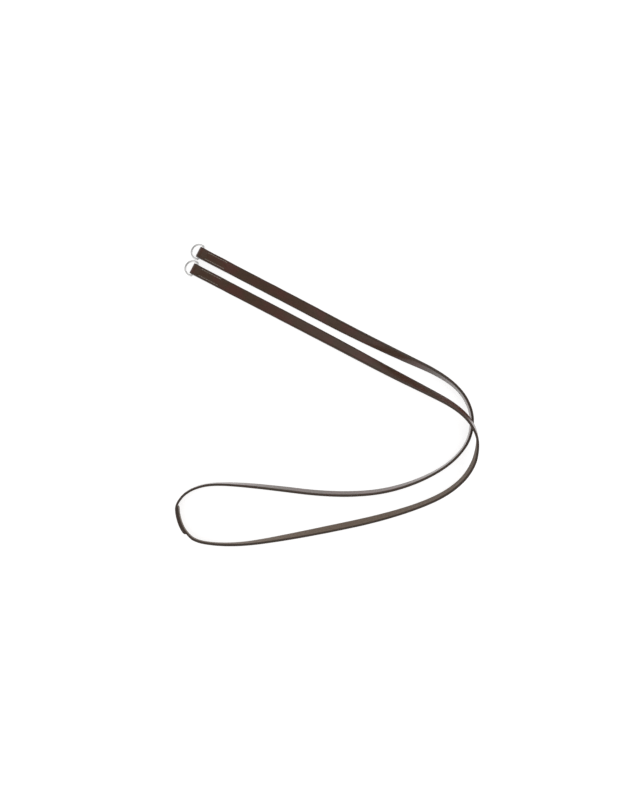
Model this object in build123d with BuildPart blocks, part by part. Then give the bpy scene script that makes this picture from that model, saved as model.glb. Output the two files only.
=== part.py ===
from build123d import *
import os
from math import asin, ceil, cos, radians, sin, tan

# A pair of leather reins lying on a flat surface (z = 0), in millimetres.
# +X runs along the two flat lengths, away from the D-rings; +Z is up.

# leather
strap_width = 16.0
strap_thick = 3.5
lap_thick = 2.7            # each layer where the two halves are sewn together
lap_length = 42.0
lap_ramp = 12.0            # length over which a strap thins down to its lap
lap_middle = 932.0         # distance along the route to the middle of the lap
section_step = 8.0

# D-rings
wire_radius = 1.5
ring_half_width = 10.75    # wire centre to the ring's middle line
ring_leg = 4.95            # bar axis to where the crown's half circle starts
ring_corner = 2.5
bar_gap = 0.3              # leather to bar

# turn-back that holds each ring
fold_radius = wire_radius + bar_gap + strap_thick
fold_slope = 30.0          # degrees, where the upper layer comes down to the lower one
turn_back = 45.0           # bar axis to the tip of the turned-back end
turn_back_tip = 1.6        # thickness left at that tip
tip_bevel = 5.0            # length over which the tip is thinned
end_length = 58.0          # bar axis to where the strap lies on the surface again
near_bar = (-238.0, 182.0)
off_bar = (-235.0, 156.5)

# stitching
thread_radius = 0.45
leg_radius = 0.35          # the thread drawn down through a hole
grain_sink = 0.2           # depth of a stitch's middle below the grain side
flesh_sink = 0.5
row_offset = 5.0           # strap's middle line to a row
stitch_pitch = 4.0
ring_stitches = 8
first_stitch = 8.0         # bar axis to the cross row
cross_stitches = 3
lap_stitches = 9

# The whole rein from the near ring round to the off ring: x, y, height of the lower edge, and
# roll, which is 0 where the strap lies flat with its grain side up and 90 where it stands on
# its edge with the grain to the right of the direction of travel.
route = [
    (-180, 182, 0, 0),
    (-85, 182, 0, 8),
    (10, 181, 0, 36),
    (90, 183.5, 0, 62),
    (150, 186.5, 0, 79),
    (190, 179, 0, 88),
    (217, 160, 0, 92),
    (231, 135, 0, 95),
    (234, 108, 0, 98),
    (223, 73, 0, 97),
    (197, 35, 0, 93),
    (160, -1, 0, 89),
    (118, -28, 0, 86),
    (72, -50, 0, 86),
    (24, -68, 0, 85),
    (-26, -88, 0, 89),
    (-68, -108, 0, 95),
    (-91, -126.5, 0, 93),
    (-101.5, -146, 0, 90),
    (-99, -167, 0, 86),
    (-83, -184.5, 0, 83),
    (-56, -193, 0, 81),
    (-20, -184, 0, 82),
    (24, -157, 0, 89),
    (70, -122, 0, 97),
    (118, -83, 0, 99),
    (164, -45, 0, 97),
    (204, -7, 0, 95),
    (235, 30, 0, 91),
    (252, 63, 2, 87),
    (256, 93, 7, 82),
    (250, 116, 14, 77),
    (237, 133, 20, 72),
    (214, 148, 20, 69),
    (186, 154.5, 13, 67),
    (150, 155.5, 4, 60),
    (90, 155, 0, 44),
    (10, 156, 0, 30),
    (-85, 156.5, 0, 8),
    (-177, 156.5, 0, 0),
]

os.makedirs("parts", exist_ok=True)


def corner_radii(points):
    """The largest arc that 0.45 of the shorter run allows at each corner."""
    radii = []
    for before, here, after in zip(points, points[1:], points[2:]):
        run_in = here - before
        run_out = after - here
        turn = run_in.get_angle(run_out)
        radii.append(0.45 * min(run_in.length, run_out.length) / tan(radians(turn / 2)))
    return radii


corners = [Vector(x, y, lift) for x, y, lift, roll in route]
radii = corner_radii(corners)
print("route radii:", [round(radius) for radius in radii])
with BuildLine() as path:
    FilletPolyline(*corners, radius=radii)
path_wire = path.wire()
path_length = path_wire.length

# distance along the path to each corner's arc, where that corner's roll holds
roll_marks = [(0.0, route[0][3])]
travelled = 0.0
for place, edge in enumerate(path_wire.edges()):
    if edge.geom_type == GeomType.CIRCLE:
        roll_marks.append((travelled + edge.length / 2, route[len(roll_marks)][3]))
    travelled += edge.length
roll_marks.append((path_length, route[-1][3]))


def roll_at(distance):
    for (start, low), (end, high) in zip(roll_marks, roll_marks[1:]):
        if distance <= end:
            return low + (high - low) * (distance - start) / (end - start)
    return roll_marks[-1][1]


def resting_height(roll, thick):
    """Height of the strap's middle line when its lowest edge touches the surface. roll is in radians."""
    return strap_width / 2 * abs(sin(roll)) + thick / 2 * abs(cos(roll))


def lap_share(distance):
    """1 along the lap, falling to 0 a short way outside it."""
    beyond = abs(distance - lap_middle) - lap_length / 2
    return min(1.0, max(0.0, 1 - beyond / lap_ramp))


def station(distance, aside=0.0):
    """Plane across the rein: x along its width, y towards its grain side, z along its length."""
    along = path_wire.tangent_at(distance, position_mode=PositionMode.LENGTH)
    left = Vector(-along.Y, along.X, 0).normalized()
    up = along.cross(left)
    roll = radians(roll_at(distance))
    across = left * cos(roll) + up * sin(roll)
    grain = up * cos(roll) - left * sin(roll)
    stack = strap_thick + (2 * lap_thick - strap_thick) * lap_share(distance)
    middle = path_wire.position_at(distance, position_mode=PositionMode.LENGTH)
    middle += Vector(0, 0, resting_height(roll, stack)) + grain * aside
    return Plane(origin=middle, x_dir=across, z_dir=along)


def stops(start, end):
    """Evenly spaced distances from start to end."""
    count = ceil((end - start) / section_step)
    return [start + (end - start) * place / count for place in range(count + 1)]


def strap_sections(distances, side):
    """Cross-sections of one half of the rein. side is 1 for the lap's grain layer, -1 for the other."""
    sections = []
    for distance in distances:
        share = lap_share(distance)
        thick = strap_thick + (lap_thick - strap_thick) * share
        with BuildSketch(station(distance, side * lap_thick / 2 * share)) as section:
            Rectangle(strap_width, thick)
        sections.append(section.sketch.face())
    return sections


def ring_end(bar):
    """Side view of a strap's end: the fold round the bar and the turned-back layer under it."""
    bar_x, bar_y = bar
    inner_radius = wire_radius + bar_gap
    corner = 90 - fold_slope
    turn = 270 - corner
    under = Vector(bar_x, 0)
    axis = Vector(bar_x, fold_radius)
    leave = Vector(cos(radians(corner)), sin(radians(corner)))
    outer = axis + leave * fold_radius
    inner = axis + leave * inner_radius
    outer_foot = Vector(outer.X + (outer.Y - 2 * strap_thick) / tan(radians(fold_slope)), 2 * strap_thick)
    inner_foot = Vector(inner.X + (inner.Y - strap_thick) / tan(radians(fold_slope)), strap_thick)
    with BuildSketch(Plane.XZ.offset(-bar_y)) as side_view:
        with BuildLine():
            CenterArc(axis, fold_radius, corner, turn)
            Polyline(
                outer,
                outer_foot,
                under + Vector(turn_back - tip_bevel, 2 * strap_thick),
                under + Vector(turn_back, turn_back_tip + strap_thick),
                under + Vector(end_length, strap_thick),
                under + Vector(end_length, 0),
                under + Vector(turn_back, turn_back_tip),
                under + Vector(turn_back, 0),
                under,
            )
        make_face()
        with BuildLine():
            CenterArc(axis, inner_radius, corner, turn)
            Polyline(inner, inner_foot, axis - Vector(0, inner_radius))
        make_face(mode=Mode.SUBTRACT)
    return side_view.sketch


def sew_along(line):
    """A run of thread, added to the part being made."""
    with BuildSketch(Plane(origin=line @ 0, z_dir=line % 0)) as end:
        Circle(thread_radius)
    sweep(end.sketch, path=line)


def ring_seam(bar):
    """U-shaped seam beside a ring: a cross row near the bar and a row along each edge."""
    near_end = bar[0] + first_stitch
    last_hole = near_end + stitch_pitch * ring_stitches
    sides = (bar[1] - row_offset, bar[1] + row_offset)
    grain_level = 2 * strap_thick - grain_sink
    for level in (grain_level, flesh_sink):
        with BuildLine() as line:
            FilletPolyline(
                (last_hole + thread_radius, sides[0], level),
                (near_end, sides[0], level),
                (near_end, sides[1], level),
                (last_hole + thread_radius, sides[1], level),
                radius=2 * thread_radius,
            )
        sew_along(line.wire())
    holes = []
    for place in range(1, ring_stitches + 1):
        holes += [(near_end + stitch_pitch * place, side, flesh_sink) for side in sides]
    for place in range(1, cross_stitches):
        holes.append((near_end, sides[0] + 2 * row_offset * place / cross_stitches, flesh_sink))
    with Locations(*holes):
        Cylinder(leg_radius, grain_level - flesh_sink, align=(Align.CENTER, Align.CENTER, Align.MIN))


def lap_row(offset):
    """One row of stitches through the lap, offset from the strap's middle line."""
    reach = stitch_pitch * lap_stitches / 2
    holes = [station(lap_middle - reach + stitch_pitch * place) for place in range(lap_stitches + 1)]
    bends = [station(lap_middle + along) for along in (-reach - thread_radius, 0, reach + thread_radius)]
    levels = (lap_thick - grain_sink, flesh_sink - lap_thick)
    for level in levels:
        with BuildLine() as line:
            ThreePointArc(*[bend.from_local_coords((offset, level, 0)) for bend in bends])
        sew_along(line.wire())
    legs = []
    for hole in holes:
        foot = hole.from_local_coords((offset, levels[1], 0))
        legs.append(Plane(origin=foot, z_dir=hole.y_dir).location)
    with Locations(*legs):
        Cylinder(leg_radius, levels[0] - levels[1], align=(Align.CENTER, Align.CENTER, Align.MIN))


def d_ring(bar):
    """Wire bent to a D: a straight bar, two short legs and a half-round crown lying on the surface."""
    tilt = asin((fold_radius - wire_radius) / (ring_leg + ring_half_width))
    plane = Plane(
        origin=(bar[0], bar[1], fold_radius),
        x_dir=(cos(tilt), 0, sin(tilt)),
        z_dir=(-sin(tilt), 0, cos(tilt)),
    )
    with BuildLine(plane) as outline:
        FilletPolyline(
            (-ring_leg, -ring_half_width),
            (0, -ring_half_width),
            (0, ring_half_width),
            (-ring_leg, ring_half_width),
            radius=ring_corner,
        )
        CenterArc((-ring_leg, 0), ring_half_width, 90, 180)
    wire_path = outline.wire()
    with BuildSketch(Plane(origin=wire_path @ 0, z_dir=wire_path % 0)) as wire_end:
        Circle(wire_radius)
    sweep(wire_end.sketch, path=wire_path)


lap_start = lap_middle - lap_length / 2
lap_end = lap_middle + lap_length / 2

with BuildPart() as near_ring_stitching:
    ring_seam(near_bar)

with BuildPart() as off_ring_stitching:
    ring_seam(off_bar)

with BuildPart() as splice_stitching:
    lap_row(row_offset)
    lap_row(-row_offset)

with BuildPart() as near_rein_strap:
    loft(strap_sections(stops(0, lap_start)[:-1] + stops(lap_start, lap_end), 1), ruled=True)
    extrude(ring_end(near_bar), amount=strap_width / 2, both=True)
    add(near_ring_stitching.part, mode=Mode.SUBTRACT)
    add(splice_stitching.part, mode=Mode.SUBTRACT)

with BuildPart() as off_rein_strap:
    loft(strap_sections(stops(lap_start, lap_end)[:-1] + stops(lap_end, path_length), -1), ruled=True)
    extrude(ring_end(off_bar), amount=strap_width / 2, both=True)
    add(off_ring_stitching.part, mode=Mode.SUBTRACT)
    add(splice_stitching.part, mode=Mode.SUBTRACT)

with BuildPart() as near_d_ring:
    d_ring(near_bar)

with BuildPart() as off_d_ring:
    d_ring(off_bar)

pieces = {
    "near_rein_strap": near_rein_strap,
    "off_rein_strap": off_rein_strap,
    "near_d_ring": near_d_ring,
    "off_d_ring": off_d_ring,
    "near_ring_stitching": near_ring_stitching,
    "off_ring_stitching": off_ring_stitching,
    "splice_stitching": splice_stitching,
}
for name, piece in pieces.items():
    piece.part.label = name
    export_step(piece.part, f"parts/{name}.step")

section = strap_width * strap_thick
print("route length:", round(path_length, 1))
for name in ("near_rein_strap", "off_rein_strap"):
    volume = pieces[name].part.volume
    print(name, "volume:", round(volume), "as length of strap:", round(volume / section, 1))
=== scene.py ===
import math

import bpy
from mathutils import Matrix, Vector, noise


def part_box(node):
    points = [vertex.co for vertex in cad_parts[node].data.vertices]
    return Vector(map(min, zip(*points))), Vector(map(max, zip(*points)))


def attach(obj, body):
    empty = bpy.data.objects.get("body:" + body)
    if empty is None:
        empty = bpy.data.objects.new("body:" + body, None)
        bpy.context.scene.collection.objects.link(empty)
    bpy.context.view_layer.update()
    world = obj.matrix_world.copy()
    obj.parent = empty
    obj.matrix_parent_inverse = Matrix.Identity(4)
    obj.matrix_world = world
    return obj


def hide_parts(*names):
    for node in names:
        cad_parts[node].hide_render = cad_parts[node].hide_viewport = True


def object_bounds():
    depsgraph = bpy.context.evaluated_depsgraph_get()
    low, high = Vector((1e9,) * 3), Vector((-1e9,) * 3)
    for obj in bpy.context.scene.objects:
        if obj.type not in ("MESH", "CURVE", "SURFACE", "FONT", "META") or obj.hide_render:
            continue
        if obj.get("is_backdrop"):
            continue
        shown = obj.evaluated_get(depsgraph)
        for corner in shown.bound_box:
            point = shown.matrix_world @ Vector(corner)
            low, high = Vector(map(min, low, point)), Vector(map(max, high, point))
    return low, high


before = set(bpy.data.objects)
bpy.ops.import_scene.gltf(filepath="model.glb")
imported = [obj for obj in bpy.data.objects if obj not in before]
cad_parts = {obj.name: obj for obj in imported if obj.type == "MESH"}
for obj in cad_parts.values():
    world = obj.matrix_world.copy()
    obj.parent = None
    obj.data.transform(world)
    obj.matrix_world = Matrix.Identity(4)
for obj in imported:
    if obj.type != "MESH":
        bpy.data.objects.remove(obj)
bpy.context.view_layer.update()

# everything is in metres, laid out on the floor at z = 0

cameraSettings = {
    "place": (-0.0414, 0.0843, 1.0617),   # straight above the near side of the reins
    "turn": math.radians(27.5),
    "lens": 32.63,
    "shift": (0.0244, -0.0313),
}


def makeCamera(s):
    data = bpy.data.cameras.new("camera")
    data.lens = s["lens"]
    data.shift_x, data.shift_y = s["shift"]
    camera = bpy.data.objects.new("camera", data)
    camera.location = s["place"]
    camera.rotation_euler = (0, 0, s["turn"])
    bpy.context.scene.collection.objects.link(camera)
    bpy.context.scene.camera = camera


makeCamera(cameraSettings)
print("camera made")

strap = {
    "length": 1.02,           # from the fold round a ring to the cut end in the lap
    "width": 0.016,
    "thick": 0.0035,
    "edgeRadius": 0.0009,
    "edgeBulge": 0.00008,     # how far the middle of a cut edge stands out
    "creaseIn": 0.0015,       # crease line to the strap's edge
    "creaseHalf": 0.00045,
    "creaseDepth": 0.00028,
    "rowOut": 0.005,          # stitch row to the strap's middle
    "rowHalf": 0.00065,       # half the width of the groove that a row sits in
    "rowDepth": 0.00035,
    "rowPast": 0.0005,        # the groove goes this far past the last hole
    "rowFade": 0.003,         # and then runs out over this length
    "holeStep": 0.004,        # from one stitch hole to the next
    "spacing": 0.0016,        # shortest step between two sections
    "waver": 0.00012,         # unevenness of the cut edges
    "waverScale": 60,
    "crown": 0.00005,         # and of the two faces
    "crownScale": 35,
    "endTrim": 0.00035,       # cut ends are rubbed round by this much
    "smoothAngle": math.radians(50),
    "fleshShift": 0.03,       # the flesh side lies beside the grain side in the strap map
}
lap = {
    "thick": 0.0027,          # each of the two layers
    "length": 0.042,
    "ramp": 0.012,            # length over which the leather comes down to a layer's thickness
    "pared": 0.0032,          # length over which each cut end is pared
    "endThick": 0.0016,
    "stitches": 9,
}
ringEnd = {
    "nearBar": (-0.238, 0.182),
    "offBar": (-0.235, 0.1565),
    "barHeight": 0.0053,
    "foldRadius": 0.00355,    # bar axis to the middle of the leather
    "tipThick": 0.0016,
    "tipLength": 0.007,
    "firstStitch": 0.008,     # bar axis to the cross row
    "stitches": 8,
    "crossStitches": 3,
}

# middle line of the turned-back end from its tip round the bar, as distance from the bar and height
foldLine = [
    (0.045, 0.0008), (0.0415, 0.0017), (0.037, 0.00177), (0.022, 0.00175), (0.006, 0.00175),
    (0.00147, 0.00175), (-0.00147, 0.00175), (-0.00355, 0.00383), (-0.00355, 0.00677),
    (-0.00147, 0.00885), (0.00095, 0.00885), (0.0045, 0.0068), (0.0078, 0.00525),
    (0.014, 0.00525), (0.028, 0.00525), (0.039, 0.0053), (0.0465, 0.0034), (0.052, 0.0020),
]

# x, y, height of the lower edge, and roll in degrees: 0 lies flat with its grain side up,
# 90 stands on its edge with the grain to the right
route = [
    (-0.180, 0.182, 0, 0),
    (-0.085, 0.182, 0, 8),
    (0.010, 0.181, 0, 34),
    (0.090, 0.1832, 0, 54),
    (0.150, 0.1862, 0, 74),
    (0.190, 0.179, 0, 87),
    (0.217, 0.160, 0, 92),
    (0.2303, 0.135, 0, 95),
    (0.2331, 0.108, 0, 97),
    (0.2227, 0.0733, 0, 95),
    (0.197, 0.035, 0, 88),
    (0.160, -0.0015, 0, 82),
    (0.118, -0.0285, 0, 79),
    (0.072, -0.0503, 0, 79),
    (0.024, -0.0682, 0, 80),
    (-0.026, -0.0878, 0, 85),
    (-0.068, -0.1075, 0, 94),
    (-0.0885, -0.1248, 0, 93),
    (-0.0990, -0.1423, 0, 90),
    (-0.0999, -0.158, 0, 88),
    (-0.0932, -0.1701, 0, 86),
    (-0.0811, -0.1829, 0, 84),
    (-0.0676, -0.1908, 0, 82),
    (-0.050, -0.1924, 0, 81),
    (-0.030, -0.1863, 0, 82),
    (-0.005, -0.1748, 0, 85),
    (0.024, -0.157, 0, 91),
    (0.070, -0.122, 0, 102),
    (0.118, -0.0836, 0, 108),
    (0.164, -0.0455, 0, 107),
    (0.2045, -0.007, 0, 100),
    (0.2351, 0.0290, 0, 97),
    (0.2513, 0.062, 0.0015, 93),
    (0.2540, 0.0915, 0.0055, 93),
    (0.2470, 0.1143, 0.0115, 84),
    (0.2362, 0.1322, 0.0167, 73),
    (0.214, 0.1476, 0.0167, 66),
    (0.186, 0.1545, 0.0110, 61),
    (0.150, 0.1555, 0.0035, 54),
    (0.090, 0.155, 0, 39),
    (0.010, 0.156, 0, 26),
    (-0.085, 0.1565, 0, 8),
    (-0.177, 0.1565, 0, 0),
]
routeFineness = 22            # points read for each point given
leastLevel = 0.02             # the route stands upright where its level part is less than this


def endPoints(bar):
    flat = strap["thick"] / 2      # heights in the route are those of the lower edge
    return [(bar[0] + along, bar[1], height - flat, 0) for along, height in foldLine]


def readSpline(points, name):
    # the points of a smooth line through the air, as Blender works them out
    data = bpy.data.curves.new(name, "CURVE")
    data.dimensions = "3D"
    data.resolution_u = routeFineness
    spline = data.splines.new("NURBS")
    spline.points.add(len(points) - 1)
    for point, place in zip(spline.points, points):
        point.co = (*place, 1)
    spline.order_u = 3
    spline.use_endpoint_u = True
    holder = bpy.data.objects.new(name, data)
    bpy.context.scene.collection.objects.link(holder)
    bpy.context.view_layer.update()
    mesh = bpy.data.meshes.new_from_object(holder)
    line = [vertex.co.copy() for vertex in mesh.vertices]
    bpy.data.objects.remove(holder)
    bpy.data.curves.remove(data)
    bpy.data.meshes.remove(mesh)
    return line


corners = endPoints(ringEnd["nearBar"]) + route + endPoints(ringEnd["offBar"])[::-1]
ridgeLine = readSpline([(x, y, lift) for x, y, lift, roll in corners], "lowerEdge")
rollLine = readSpline([(math.radians(roll), 0, 0) for x, y, lift, roll in corners], "roll")
pointCount = len(ridgeLine)
nearPart = range(pointCount // 3)
offPart = range(2 * pointCount // 3, pointCount)
print("route read:", pointCount, "points")

# distance along the route to each of its points, and to the middle and ends of the lap
reach = [0.0]
for here, there in zip(ridgeLine, ridgeLine[1:]):
    reach.append(reach[-1] + (there - here).length)
lapLow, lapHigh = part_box("splice_stitching")
lapCentre = ((lapLow + lapHigh) / 2).to_2d()
lapIndex = min(range(pointCount), key=lambda i: (ridgeLine[i].to_2d() - lapCentre).length)
lapMiddle = reach[lapIndex]
lapStart = lapMiddle - lap["length"] / 2
lapEnd = lapMiddle + lap["length"] / 2
print("lap at", round(lapMiddle, 4), "of", round(reach[-1], 4))


def lapShare(distance):
    # 1 along the lap, falling to 0 a little outside it
    beyond = abs(distance - lapMiddle) - lap["length"] / 2
    return min(1.0, max(0.0, 1 - beyond / lap["ramp"]))


def stackAt(distance):
    return strap["thick"] + (2 * lap["thick"] - strap["thick"]) * lapShare(distance)


def restingHeight(roll, thick):
    # the middle line's height when the lowest edge touches the floor
    return strap["width"] / 2 * abs(math.sin(roll)) + thick / 2 * abs(math.cos(roll))


middleLine = []
for place, roll, distance in zip(ridgeLine, rollLine, reach):
    middleLine.append(place + Vector((0, 0, restingHeight(roll.x, stackAt(distance)))))


def frameAlong():
    # a matrix at every point: x across the strap, y towards its grain side, z along it
    turned = [None] * pointCount
    for step in (1, -1):
        side = None
        i = pointCount // 2
        while 0 <= i < pointCount:
            along = (middleLine[min(i + 1, pointCount - 1)] - middleLine[max(i - 1, 0)]).normalized()
            level = Vector((-along.y, along.x, 0))
            if side is None:
                side = level.normalized()
            elif level.length > leastLevel:
                # past a fold the route runs back, and the strap's side must not turn over
                level.normalize()
                side = level if level.dot(side) > 0 else -level
            up = along.cross(side)
            roll = rollLine[i].x
            across = side * math.cos(roll) + up * math.sin(roll)
            grain = up * math.cos(roll) - side * math.sin(roll)
            axes = Matrix((across, grain, along)).transposed().to_4x4()
            turned[i] = Matrix.Translation(middleLine[i]) @ axes
            i += step
    return turned


stations = frameAlong()


def stationAt(distance):
    # the station at a distance along the route, between two read points
    i = next((i for i in range(1, pointCount) if reach[i] >= distance), pointCount - 1)
    share = (distance - reach[i - 1]) / max(reach[i] - reach[i - 1], 1e-9)     # never divided by nothing
    return stations[i - 1].lerp(stations[i], share)


def pathBetween(start, end):
    inside = [stationAt(distance).translation for distance in reach if start < distance < end]
    return [stationAt(start).translation] + inside + [stationAt(end).translation]


def distanceTo(point, part):
    found = min(part, key=lambda i: (middleLine[i] - point).length)
    return reach[found]


def foldAt(bar):
    # the middle of the leather where it goes round a ring's bar
    return Vector((bar[0] - ringEnd["foldRadius"], bar[1], ringEnd["barHeight"]))


def seamOf(bar, part):
    # where a ring's seam lies, on the turned-back layer and on the upper one
    rowEnd = ringEnd["firstStitch"] + strap["holeStep"] * ringEnd["stitches"]
    places = []
    for layer in (0.5, 1.5):
        height = layer * strap["thick"]
        low = distanceTo(Vector((bar[0] + ringEnd["firstStitch"], bar[1], height)), part)
        high = distanceTo(Vector((bar[0] + rowEnd, bar[1], height)), part)
        places.append(((low + high) / 2, abs(high - low) / 2 + strap["rowPast"]))
    return places


# the middle and half the length of every grooved stretch
seamPlaces = seamOf(ringEnd["nearBar"], nearPart) + seamOf(ringEnd["offBar"], offPart)
seamPlaces.append((lapMiddle, strap["holeStep"] * lap["stitches"] / 2 + strap["rowPast"]))


def seamShare(distance):
    # 1 beside a ring and in the lap, where the rows of stitches sit in a shallow groove
    best = 0.0
    for middle, half in seamPlaces:
        best = max(best, min(1.0, 1 - (abs(distance - middle) - half) / strap["rowFade"]))
    return best


def profile(thick, seam):
    # one section as (across, up, face, shade): face is 1 on the grain side, -1 on the flesh side, and
    # shade is 1 where painted shade darkens the crease line and the stitch grooves
    half = strap["width"] / 2
    high = thick / 2
    bend = min(strap["edgeRadius"], high * 0.6)     # rounded less where the leather is thin
    crease = half - strap["creaseIn"]
    row = strap["rowOut"]
    creased = [
        (crease + strap["creaseHalf"], 0, 0),
        (crease, strap["creaseDepth"], 1),
        (crease - strap["creaseHalf"], 0, 0),
    ]
    grooved = [
        (row + strap["rowHalf"], 0, 0),
        (row, strap["rowDepth"] * seam, seam),
        (row - strap["rowHalf"], 0, 0),
        (row / 2, 0, 0),
    ]
    grainSide = [(x, high - depth, 1, sunkShade) for x, depth, sunkShade in creased + grooved]
    fleshSide = [(x, -high + depth, -1, sunkShade) for x, depth, sunkShade in [(crease, 0, 0)] + grooved]
    rounded = []                       # the cut edge, from the grain side to its middle
    for degrees, face in ((90, 0.9), (64, 0.55), (34, 0.1), (0, 0)):
        a = math.radians(degrees)
        rounded.append((half - bend + bend * math.cos(a), high - bend + bend * math.sin(a), face, 0))
    edge = rounded + [(half + strap["edgeBulge"], 0, 0, 0)]
    edge += [(x, -y, -face, 0) for x, y, face, sunkShade in rounded[::-1]]
    right = [(0, high, 1, 0)] + grainSide[::-1] + edge + fleshSide + [(0, -high, -1, 0)]
    left = [(-x, y, face, sunkShade) for x, y, face, sunkShade in right[-2:0:-1]]
    return right + left


def tipThickness(distance):
    # the turned-back ends are thinned down to their tips
    fromTip = min(distance, reach[-1] - distance)
    share = min(1.0, fromTip / ringEnd["tipLength"])
    return ringEnd["tipThick"] + (strap["thick"] - ringEnd["tipThick"]) * share


def sectionsOf(start, end, side):
    # the points of all sections, and for each what the finish reads: distance, across, face and the
    # painted shade of the grooves
    half = strap["width"] / 2
    cutEnd = end if side > 0 else start
    places = [start]
    for distance in reach:
        if places[-1] + strap["spacing"] <= distance <= end - strap["spacing"] / 2:
            places.append(distance)
    places.append(end)
    vertices, values = [], []
    for distance in places:
        share = lapShare(distance)
        pared = (lap["thick"] - lap["endThick"]) * max(0.0, 1 - abs(distance - cutEnd) / lap["pared"])
        thick = tipThickness(distance)
        thick += (lap["thick"] - thick) * share
        thick -= pared
        aside = side * (lap["thick"] - pared) / 2 * share      # in the lap a layer lies beside the route
        # the two straps, one each side, are uneven in their own way
        waver = noise.noise(Vector((distance * strap["waverScale"], side * 9, 0)))
        crown = noise.noise(Vector((distance * strap["crownScale"], side * 5, 3)))
        trim = strap["endTrim"] if distance in (start, end) else 0
        wide = (1 + strap["waver"] / half * waver) * (1 - trim / half)
        station = stationAt(distance)
        for x, y, face, sunkShade in profile(thick, seamShare(distance)):
            x *= wide
            y *= 1 - trim / thick
            vertices.append(station @ Vector((x, y + aside + strap["crown"] * crown * face, 0)))
            values.append((distance, x, face, sunkShade))
    return vertices, values


def selectOnly(*pieces):
    bpy.ops.object.select_all(action="DESELECT")
    for piece in pieces:
        piece.select_set(True)
    bpy.context.view_layer.objects.active = pieces[0]


def makeStrap(name, start, end, side):
    # the strap from distance start to end; side is 1 for the lap's grain layer and -1 for the other
    vertices, values = sectionsOf(start, end, side)
    width = len(profile(strap["thick"], 0))
    last = len(vertices) - width
    faces = []
    for first in range(0, last, width):
        for j in range(width):
            a = first + j
            b = first + (j + 1) % width
            faces.append((a, a + width, b + width, b))
    faces.append(tuple(range(width)))
    faces.append(tuple(range(last, last + width))[::-1])
    mesh = bpy.data.meshes.new(name)
    mesh.from_pydata(vertices, [], faces)
    mesh.validate()
    piece = bpy.data.objects.new(name, mesh)
    bpy.context.scene.collection.objects.link(piece)
    uv = mesh.uv_layers.new(name="strapMap")
    for loop in mesh.loops:
        distance, x, face, sunkShade = values[loop.vertex_index]
        uv.data[loop.index].uv = (distance, x + (strap["fleshShift"] if face < 0 else 0))
    # the second attribute marks where painted shade goes along the crease lines and stitch grooves
    for label, column in (("face", 2), ("sunkShade", 3)):
        attribute = mesh.attributes.new(label, "FLOAT", "POINT")
        attribute.data.foreach_set("value", [row[column] for row in values])
    selectOnly(piece)
    bpy.ops.object.mode_set(mode="EDIT")
    bpy.ops.mesh.select_all(action="SELECT")
    bpy.ops.mesh.normals_make_consistent(inside=False)
    bpy.ops.object.mode_set(mode="OBJECT")
    bpy.ops.object.shade_smooth_by_angle(angle=strap["smoothAngle"])
    return piece


nearFold = foldAt(ringEnd["nearBar"])
offFold = foldAt(ringEnd["offBar"])
nearStart = distanceTo(nearFold, nearPart)
offStart = distanceTo(offFold, offPart)

nearRein = makeStrap("nearRein", 0, lapEnd, 1)
offRein = makeStrap("offRein", lapStart, reach[-1], -1)
print("straps made:", len(nearRein.data.polygons) + len(offRein.data.polygons), "faces")
print("near rein", round(lapEnd - nearStart, 4), "m, off rein", round(offStart - lapStart, 4), "m")

thread = {
    "radius": 0.00045,
    "sides": 8,
    "flatness": 0.72,         # the thread is pulled a little flat
    "twist": math.radians(38),
    "sink": 0.0002,           # how deep a stitch's middle lies
    "floorGap": 0.0001,       # between the floor and the lower stitches of a ring's seam
    "slant": 0.09,            # how much a stitch turns away from its row
    # half a stitch, from its middle to where it goes down the hole: along, height
    "halfLine": [(0.0, 0.0), (0.0006, -0.00002), (0.00115, -0.0001), (0.0016, -0.0003), (0.0019, -0.0007)],
}


def makeStitch():
    # one stitch along x, of thread that twists as it goes
    line = [(-along, height) for along, height in thread["halfLine"][:0:-1]] + thread["halfLine"]
    start = (line[0][0], 0, line[0][1])
    bpy.ops.object.select_all(action="DESELECT")
    bpy.ops.mesh.primitive_circle_add(
        vertices=thread["sides"], radius=thread["radius"], fill_type="NGON",
        location=start, rotation=(0, math.radians(90), 0),
    )
    stitch = bpy.context.object
    bpy.ops.object.transform_apply(location=True, rotation=True, scale=True)
    bpy.ops.object.mode_set(mode="EDIT")
    bpy.ops.mesh.select_all(action="SELECT")
    bpy.ops.transform.resize(value=(1, thread["flatness"], 1), center_override=start)
    for (x0, z0), (x1, z1) in zip(line, line[1:]):
        bpy.ops.mesh.extrude_region_move(TRANSFORM_OT_translate={"value": (x1 - x0, 0, z1 - z0)})
        bpy.ops.transform.rotate(value=thread["twist"], orient_axis="X", center_override=(x1, 0, z1))
    bpy.ops.mesh.select_all(action="SELECT")
    bpy.ops.mesh.normals_make_consistent(inside=False)
    bpy.ops.object.mode_set(mode="OBJECT")
    bpy.ops.object.shade_smooth()
    return stitch


def placeStitch(master, first, second, outward, slant):
    # a copy of the stitch from one hole to the next, on the side that outward points to
    middle = (first + second) / 2
    along = (second - first).normalized()
    across = outward.cross(along).normalized()
    along = (along + across * slant).normalized()
    across = outward.cross(along).normalized()
    copy = master.copy()
    copy.data = master.data.copy()
    bpy.context.scene.collection.objects.link(copy)
    stretch = (second - first).length / strap["holeStep"]
    axes = Matrix((along * stretch, across, along.cross(across))).transposed().to_4x4()
    copy.data.transform(Matrix.Translation(middle) @ axes)
    return copy


def sewRow(master, holes, sides):
    # holes are (place, outward) on one face; sides are (how far outward, 1 for that face or -1)
    stitches = []
    for (first, out), (second, _) in zip(holes, holes[1:]):
        for depth, sign in sides:
            drop = out * depth
            slant = thread["slant"] * sign
            stitches.append(placeStitch(master, first + drop, second + drop, out * sign, slant))
    return stitches


def joinAs(name, stitches):
    selectOnly(*stitches)
    bpy.ops.object.join()
    piece = bpy.context.object
    piece.name = name
    piece.data.name = name
    return piece


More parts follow.
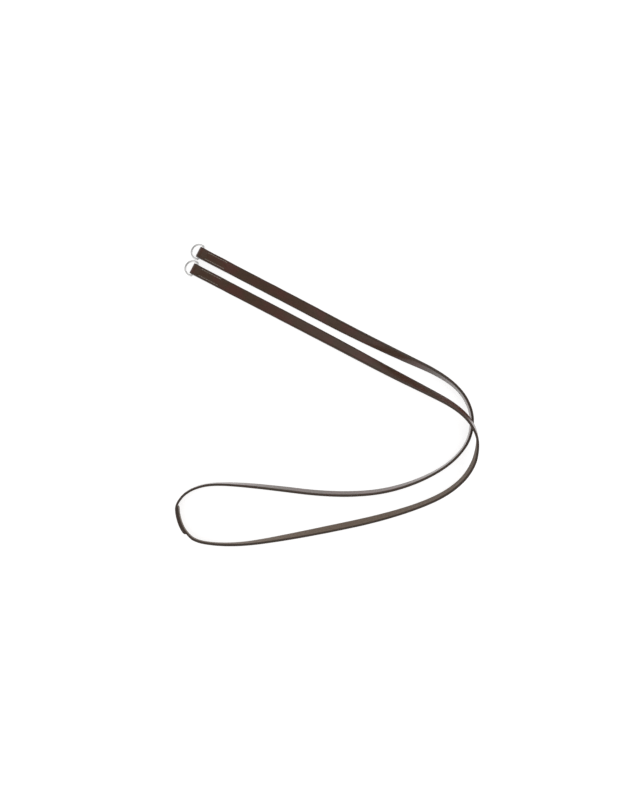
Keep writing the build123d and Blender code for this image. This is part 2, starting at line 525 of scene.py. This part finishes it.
def sewRing(name, bar):
    up = Vector((0, 0, 1))
    top = 2 * strap["thick"] - thread["sink"]
    bottom = thread["radius"] + thread["floorGap"]
    sides = ((0, 1), (bottom - top, -1))
    x0 = bar[0] + ringEnd["firstStitch"]
    stitches = []
    for way in (-1, 1):
        y = bar[1] + way * strap["rowOut"]
        steps = range(ringEnd["stitches"] + 1)
        holes = [(Vector((x0 + strap["holeStep"] * k, y, top)), up) for k in steps]
        stitches += sewRow(stitchMaster, holes, sides)
    y0 = bar[1] - strap["rowOut"]
    gap = 2 * strap["rowOut"] / ringEnd["crossStitches"]
    holes = [(Vector((x0, y0 + gap * k, top)), up) for k in range(ringEnd["crossStitches"] + 1)]
    stitches += sewRow(stitchMaster, holes, sides)
    return joinAs(name, stitches)


def sewLap(name):
    start = lapMiddle - strap["holeStep"] * lap["stitches"] / 2
    depth = lap["thick"] - thread["sink"]
    stitches = []
    for way in (-1, 1):
        holes = []
        for k in range(lap["stitches"] + 1):
            station = stationAt(start + strap["holeStep"] * k)
            grain = station.to_3x3() @ Vector((0, 1, 0))
            holes.append((station @ Vector((way * strap["rowOut"], depth, 0)), grain.normalized()))
        stitches += sewRow(stitchMaster, holes, ((0, 1), (-2 * depth, -1)))
    return joinAs(name, stitches)


stitchMaster = makeStitch()
nearStitches = sewRing("nearRingStitches", ringEnd["nearBar"])
offStitches = sewRing("offRingStitches", ringEnd["offBar"])
lapStitches = sewLap("lapStitches")
bpy.data.objects.remove(stitchMaster)
print("stitches sewn")

ring = {
    "wire": 0.0015,
    "halfWidth": 0.01075,     # wire centre to the ring's middle line
    "leg": 0.00495,           # bar axis to where the crown begins
    "corner": 0.0025,
    "weld": 0.0011,           # the bead on the bar rises, runs level and falls over this length each
    "bead": 1.1,              # the bead's thickness to the wire's
    "sides": 20,
    "crownSteps": 48,
    "cornerSteps": 10,
    "join": 0.00002,          # the wire's last loop is merged with its first
}


def pullWire(x, y):
    bpy.ops.mesh.extrude_region_move(TRANSFORM_OT_translate={"value": (x, y, 0)})


def bendWire(steps, angle, x, y):
    bpy.ops.mesh.spin(steps=steps, angle=angle, center=(x, y, 0), axis=(0, 0, 1))


def wireEnd(piece):
    # the middle of the loop of wire that is being pulled
    piece.update_from_editmode()
    chosen = [vertex.co for vertex in piece.data.vertices if vertex.select]
    return sum(chosen, Vector()) / len(chosen)


def makeRing(name, bar):
    wire, half, leg, corner = ring["wire"], ring["halfWidth"], ring["leg"], ring["corner"]
    besideWeld = half - corner - 2 * ring["weld"]
    bpy.ops.object.select_all(action="DESELECT")
    bpy.ops.mesh.primitive_circle_add(
        vertices=ring["sides"], radius=wire, location=(-leg, -half, 0), rotation=(0, math.radians(90), 0),
    )
    piece = bpy.context.object
    piece.name = name
    piece.data.name = name
    bpy.ops.object.transform_apply(location=True, rotation=True, scale=True)
    bpy.ops.object.mode_set(mode="EDIT")
    bpy.ops.mesh.select_all(action="SELECT")
    bendWire(ring["crownSteps"], math.pi, -leg, 0)
    pullWire(leg - corner, 0)
    bendWire(ring["cornerSteps"], math.pi / 2, -corner, half - corner)
    pullWire(0, -besideWeld)
    for grow in (ring["bead"], 1.0, 1 / ring["bead"], 1.0):
        pullWire(0, -ring["weld"])
        bpy.ops.transform.resize(value=(grow, 1, grow), center_override=wireEnd(piece))
    pullWire(0, -besideWeld)
    bendWire(ring["cornerSteps"], math.pi / 2, -corner, corner - half)
    pullWire(corner - leg, 0)
    bpy.ops.mesh.select_all(action="SELECT")
    bpy.ops.mesh.remove_doubles(threshold=ring["join"])
    bpy.ops.mesh.normals_make_consistent(inside=False)
    bpy.ops.object.mode_set(mode="OBJECT")
    bpy.ops.object.shade_smooth()
    # the crown rests on the floor, and the leather holds the bar up
    tilt = math.asin((ringEnd["barHeight"] - wire) / (leg + half))
    piece.rotation_euler = (0, -tilt, 0)
    piece.location = (bar[0], bar[1], ringEnd["barHeight"])
    selectOnly(piece)
    bpy.ops.object.transform_apply(location=True, rotation=True, scale=True)
    return piece


nearRing = makeRing("nearRing", ringEnd["nearBar"])
offRing = makeRing("offRing", ringEnd["offBar"])
print("rings made")


class Wire:
    # a shader socket that Python's operators work on
    def __init__(self, finish, socket):
        self.finish = finish
        self.socket = socket

    def maths(self, operation, first, second):
        return self.finish.add("Math", {"operation": operation}, {0: first, 1: second})

    def __add__(self, other):
        return self.maths("ADD", self, other)

    def __radd__(self, other):
        return self.maths("ADD", other, self)

    def __sub__(self, other):
        return self.maths("SUBTRACT", self, other)

    def __rsub__(self, other):
        return self.maths("SUBTRACT", other, self)

    def __mul__(self, other):
        return self.maths("MULTIPLY", self, other)

    def __rmul__(self, other):
        return self.maths("MULTIPLY", other, self)


class Finish:
    # the node tree of a material or of the world
    def __init__(self, holder):
        self.holder = holder
        holder.use_nodes = True
        self.tree = holder.node_tree
        self.tree.nodes.clear()

    def add(self, kind, settings, values, output=0):
        # any node: its settings first, then what goes into its sockets
        node = self.tree.nodes.new("ShaderNode" + kind)
        for key, value in settings.items():
            setattr(node, key, value)
        for key, value in values.items():
            if isinstance(value, Wire):
                self.tree.links.new(value.socket, node.inputs[key])
            else:
                node.inputs[key].default_value = value
        return Wire(self, node.outputs[output])

    def mix(self, share, first, second):
        # colours, by share of the second; 6, 7 and 2 are the node's colour sockets
        return self.add("Mix", {"data_type": "RGBA"}, {0: share, 6: first, 7: second}, 2)

    def between(self, value, low, high):
        # 0 at low, 1 at high
        return self.add(
            "MapRange", {"interpolation_type": "SMOOTHSTEP"},
            {"Value": value, "From Min": low, "From Max": high},
        )

    def noise(self, vector, scale, detail, roughness):
        return self.add(
            "TexNoise", {}, {"Vector": vector, "Scale": scale, "Detail": detail, "Roughness": roughness},
        )

    def show(self, surface, output="OutputMaterial"):
        out = self.tree.nodes.new("ShaderNode" + output)
        self.tree.links.new(surface.socket, out.inputs["Surface"])
        return self.holder


leatherLook = {
    "red": (0.079, 0.0305, 0.0210, 1),
    "olive": (0.063, 0.0335, 0.0190, 1),
    "edge": (0.058, 0.047, 0.039, 1),
    "flesh": (0.160, 0.112, 0.078, 1),
    "fleshDark": (0.098, 0.067, 0.046, 1),
    # dark dye for the streaks, and painted shade for the pores, crease lines and stitch grooves
    "darkDyeAndShade": (0.010, 0.006, 0.0045, 1),
    # how strongly each takes its colour
    "streakShare": 0.4,
    # the next two set how much painted shade goes into the pores and into the pressed-in lines
    "pitShadeShare": 0.35,
    "sunkShadeShare": 0.75,
    "edgeShare": 0.8,
    # the higher, the finer
    "patchScale": 38.0,
    "streakScale": 900.0,
    "poreScale": 1500.0,
    "wrinkleScale": 1100.0,
    "fibreScale": 2600.0,
    "drawnOut": (0.12, 1.6, 1.0),     # streaks and fibres run along the strap
    "relief": 0.00022,
    "reliefShare": 0.5,
    # roughness of the grain side, and what is added to it for each of the others
    "rough": 0.26,
    "patchRough": 0.1,
    "pitRough": 0.10,
    "edgeRough": -0.05,
    "fleshRough": 0.16,
    "shine": 0.16,
    "coatRough": 0.2,                 # the dressing, on the grain side only
    "coatIndex": 1.22,
}


def leatherFinish(s):
    f = Finish(bpy.data.materials.new("brownLeather"))
    place = f.add("TexCoord", {}, {}, "Object")
    strapMap = f.add("UVMap", {"uv_map": "strapMap"}, {})
    face = f.add("Attribute", {"attribute_name": "face"}, {}, "Fac")
    # where painted shade darkens the crease lines and stitch grooves
    sunkShade = f.add("Attribute", {"attribute_name": "sunkShade"}, {}, "Fac")
    flesh = f.between(face, -0.35, -0.8)
    grain = f.between(face, 0.3, 0.85)
    edge = (1 - flesh) * (1 - grain)
    # patches and lengthwise streaks of the dye
    patches = f.noise(place, s["patchScale"], 2.0, 0.55)
    stretched = f.add("Mapping", {}, {"Vector": strapMap, "Scale": s["drawnOut"]})
    streaks = f.noise(stretched, s["streakScale"], 3.0, 0.6)
    colour = f.mix(f.between(patches, 0.38, 0.62), s["red"], s["olive"])
    colour = f.mix(f.between(streaks, 0.45, 0.75) * s["streakShare"], colour, s["darkDyeAndShade"])
    # pores, and lines where the leather is pressed in, both darkened with painted shade
    pores = f.add("TexVoronoi", {"feature": "F1"}, {"Vector": place, "Scale": s["poreScale"]})
    wrinkles = f.noise(place, s["wrinkleScale"], 4.0, 0.6)
    pits = f.between(pores, 0.42, 0.12)
    # painted shade in the pores
    colour = f.mix(pits * s["pitShadeShare"], colour, s["darkDyeAndShade"])
    # painted shade along the crease lines and stitch grooves
    colour = f.mix(sunkShade * s["sunkShadeShare"], colour, s["darkDyeAndShade"])
    colour = f.mix(edge * s["edgeShare"], colour, s["edge"])
    # the flesh side: short fibres under the dye
    fibres = f.noise(stretched, s["fibreScale"], 4.0, 0.7)
    fleshColour = f.mix(f.between(fibres, 0.35, 0.7), s["fleshDark"], s["flesh"])
    colour = f.mix(flesh, colour, fleshColour)
    rough = s["rough"] + s["patchRough"] * patches + s["pitRough"] * pits
    rough = rough + s["edgeRough"] * edge + s["fleshRough"] * flesh
    # each side has the relief of its own pattern
    height = grain * (wrinkles * 0.5 - pits * 0.6) + flesh * fibres * 1.6 + edge * streaks * 0.3
    bump = f.add("Bump", {}, {"Strength": s["reliefShare"], "Distance": s["relief"], "Height": height})
    return f.show(f.add("BsdfPrincipled", {}, {
        "Base Color": colour, "Roughness": rough, "Normal": bump, "Specular IOR Level": s["shine"],
        "Coat Weight": grain, "Coat Roughness": s["coatRough"], "Coat IOR": s["coatIndex"],
    }))


threadLook = {
    "dark": (0.14, 0.115, 0.092, 1),
    "light": (0.36, 0.31, 0.25, 1),
    "fibreScale": 2600.0,
    "relief": 0.00008,
    "reliefShare": 0.6,
    "rough": 0.5,
    "fibreRough": 0.2,
}


def threadFinish(s):
    f = Finish(bpy.data.materials.new("waxedThread"))
    place = f.add("TexCoord", {}, {}, "Object")
    fibres = f.noise(place, s["fibreScale"], 3.0, 0.6)
    colour = f.mix(fibres, s["dark"], s["light"])
    bump = f.add("Bump", {}, {"Strength": s["reliefShare"], "Distance": s["relief"], "Height": fibres})
    return f.show(f.add("BsdfPrincipled", {}, {
        "Base Color": colour, "Roughness": s["rough"] + s["fibreRough"] * fibres, "Normal": bump,
    }))


nickelLook = {
    "bright": (0.67, 0.665, 0.66, 1),
    "dull": (0.59, 0.585, 0.58, 1),
    "hazeScale": 160.0,
    "scratchScale": 2200.0,
    "relief": 0.00005,
    "reliefShare": 0.12,
    "rough": 0.2,
    "hazeRough": 0.16,
}


def nickelFinish(s):
    f = Finish(bpy.data.materials.new("nickelWire"))
    place = f.add("TexCoord", {}, {}, "Object")
    haze = f.noise(place, s["hazeScale"], 4.0, 0.6)
    scratches = f.noise(place, s["scratchScale"], 2.0, 0.5)
    colour = f.mix(f.between(haze, 0.3, 0.8), s["bright"], s["dull"])
    bump = f.add("Bump", {}, {"Strength": s["reliefShare"], "Distance": s["relief"], "Height": scratches})
    return f.show(f.add("BsdfPrincipled", {}, {
        "Base Color": colour, "Metallic": 1.0, "Normal": bump,
        "Roughness": s["rough"] + s["hazeRough"] * haze,
    }))


leather = leatherFinish(leatherLook)
waxedThread = threadFinish(threadLook)
nickel = nickelFinish(nickelLook)
for piece in (nearRein, offRein):
    piece.data.materials.append(leather)
for piece in (nearStitches, offStitches, lapStitches):
    piece.data.materials.append(waxedThread)
for piece in (nearRing, offRing):
    piece.data.materials.append(nickel)
print("finishes made")

# what each piece rides on, stands for and is made of
for piece, body, node, slot in (
    (nearRein, "reins", "near_rein_strap", "leather"),
    (offRein, "reins", "off_rein_strap", "leather"),
    (nearStitches, "reins", "near_ring_stitching", "thread"),
    (offStitches, "reins", "off_ring_stitching", "thread"),
    (lapStitches, "reins", "splice_stitching", "thread"),
    (nearRing, "near_ring", "near_d_ring", "ring_wire"),
    (offRing, "off_ring", "off_d_ring", "ring_wire"),
):
    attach(piece, body)
    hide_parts(node)

pathBetween(nearStart, lapEnd)
pathBetween(lapStart, offStart)

studio = {
    "floorSize": 8.0,
    "floorColour": (0.5, 0.5, 0.5, 1),
    "floorRough": 0.9,
    "floorGlow": 0.75,        # the floor gives some light itself, so shadows stay faint
    "white": (1, 1, 1, 1),
    "overhead": 0.4,          # brightness straight above
    "horizon": 0.9,           # and added to it low down, all round
    "horizonTop": 0.95,       # how high that reaches, 1 being straight above
    "lamps": (
        # place, size, power
        ((0.9, 1.7, 1.9), 2.6, 17.0),
        ((-1.3, -1.3, 1.8), 2.6, 13.0),
    ),
}


def makeFloor(s):
    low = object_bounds()[0].z
    bpy.ops.object.select_all(action="DESELECT")
    bpy.ops.mesh.primitive_plane_add(size=s["floorSize"], location=(0, 0, low))
    floor = bpy.context.object
    floor.name = "floor"
    f = Finish(bpy.data.materials.new("paleFloor"))
    floor.data.materials.append(f.show(f.add("BsdfPrincipled", {}, {
        "Base Color": s["floorColour"], "Roughness": s["floorRough"], "Specular IOR Level": 0.0,
        "Emission Color": s["white"], "Emission Strength": s["floorGlow"],
    })))
    floor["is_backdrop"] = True


def makeLight(s):
    for place, size, power in s["lamps"]:
        data = bpy.data.lights.new("lamp", "AREA")
        data.size = size
        data.energy = power
        lamp = bpy.data.objects.new("lamp", data)
        lamp.location = place
        lamp.rotation_euler = (-Vector(place)).to_track_quat("-Z", "Y").to_euler()
        bpy.context.scene.collection.objects.link(lamp)
    w = Finish(bpy.data.worlds.new("studio"))
    height = w.add("SeparateXYZ", {}, {"Vector": w.add("TexCoord", {}, {}, "Generated")}, "Z")
    glow = s["overhead"] + s["horizon"] * (1 - w.between(height, 0.0, s["horizonTop"]))
    sky = w.add("Background", {}, {"Color": s["white"], "Strength": glow})
    bpy.context.scene.world = w.show(sky, "OutputWorld")
    bpy.context.scene.view_settings.view_transform = "Standard"


makeFloor(studio)
makeLight(studio)
print("floor and light made")
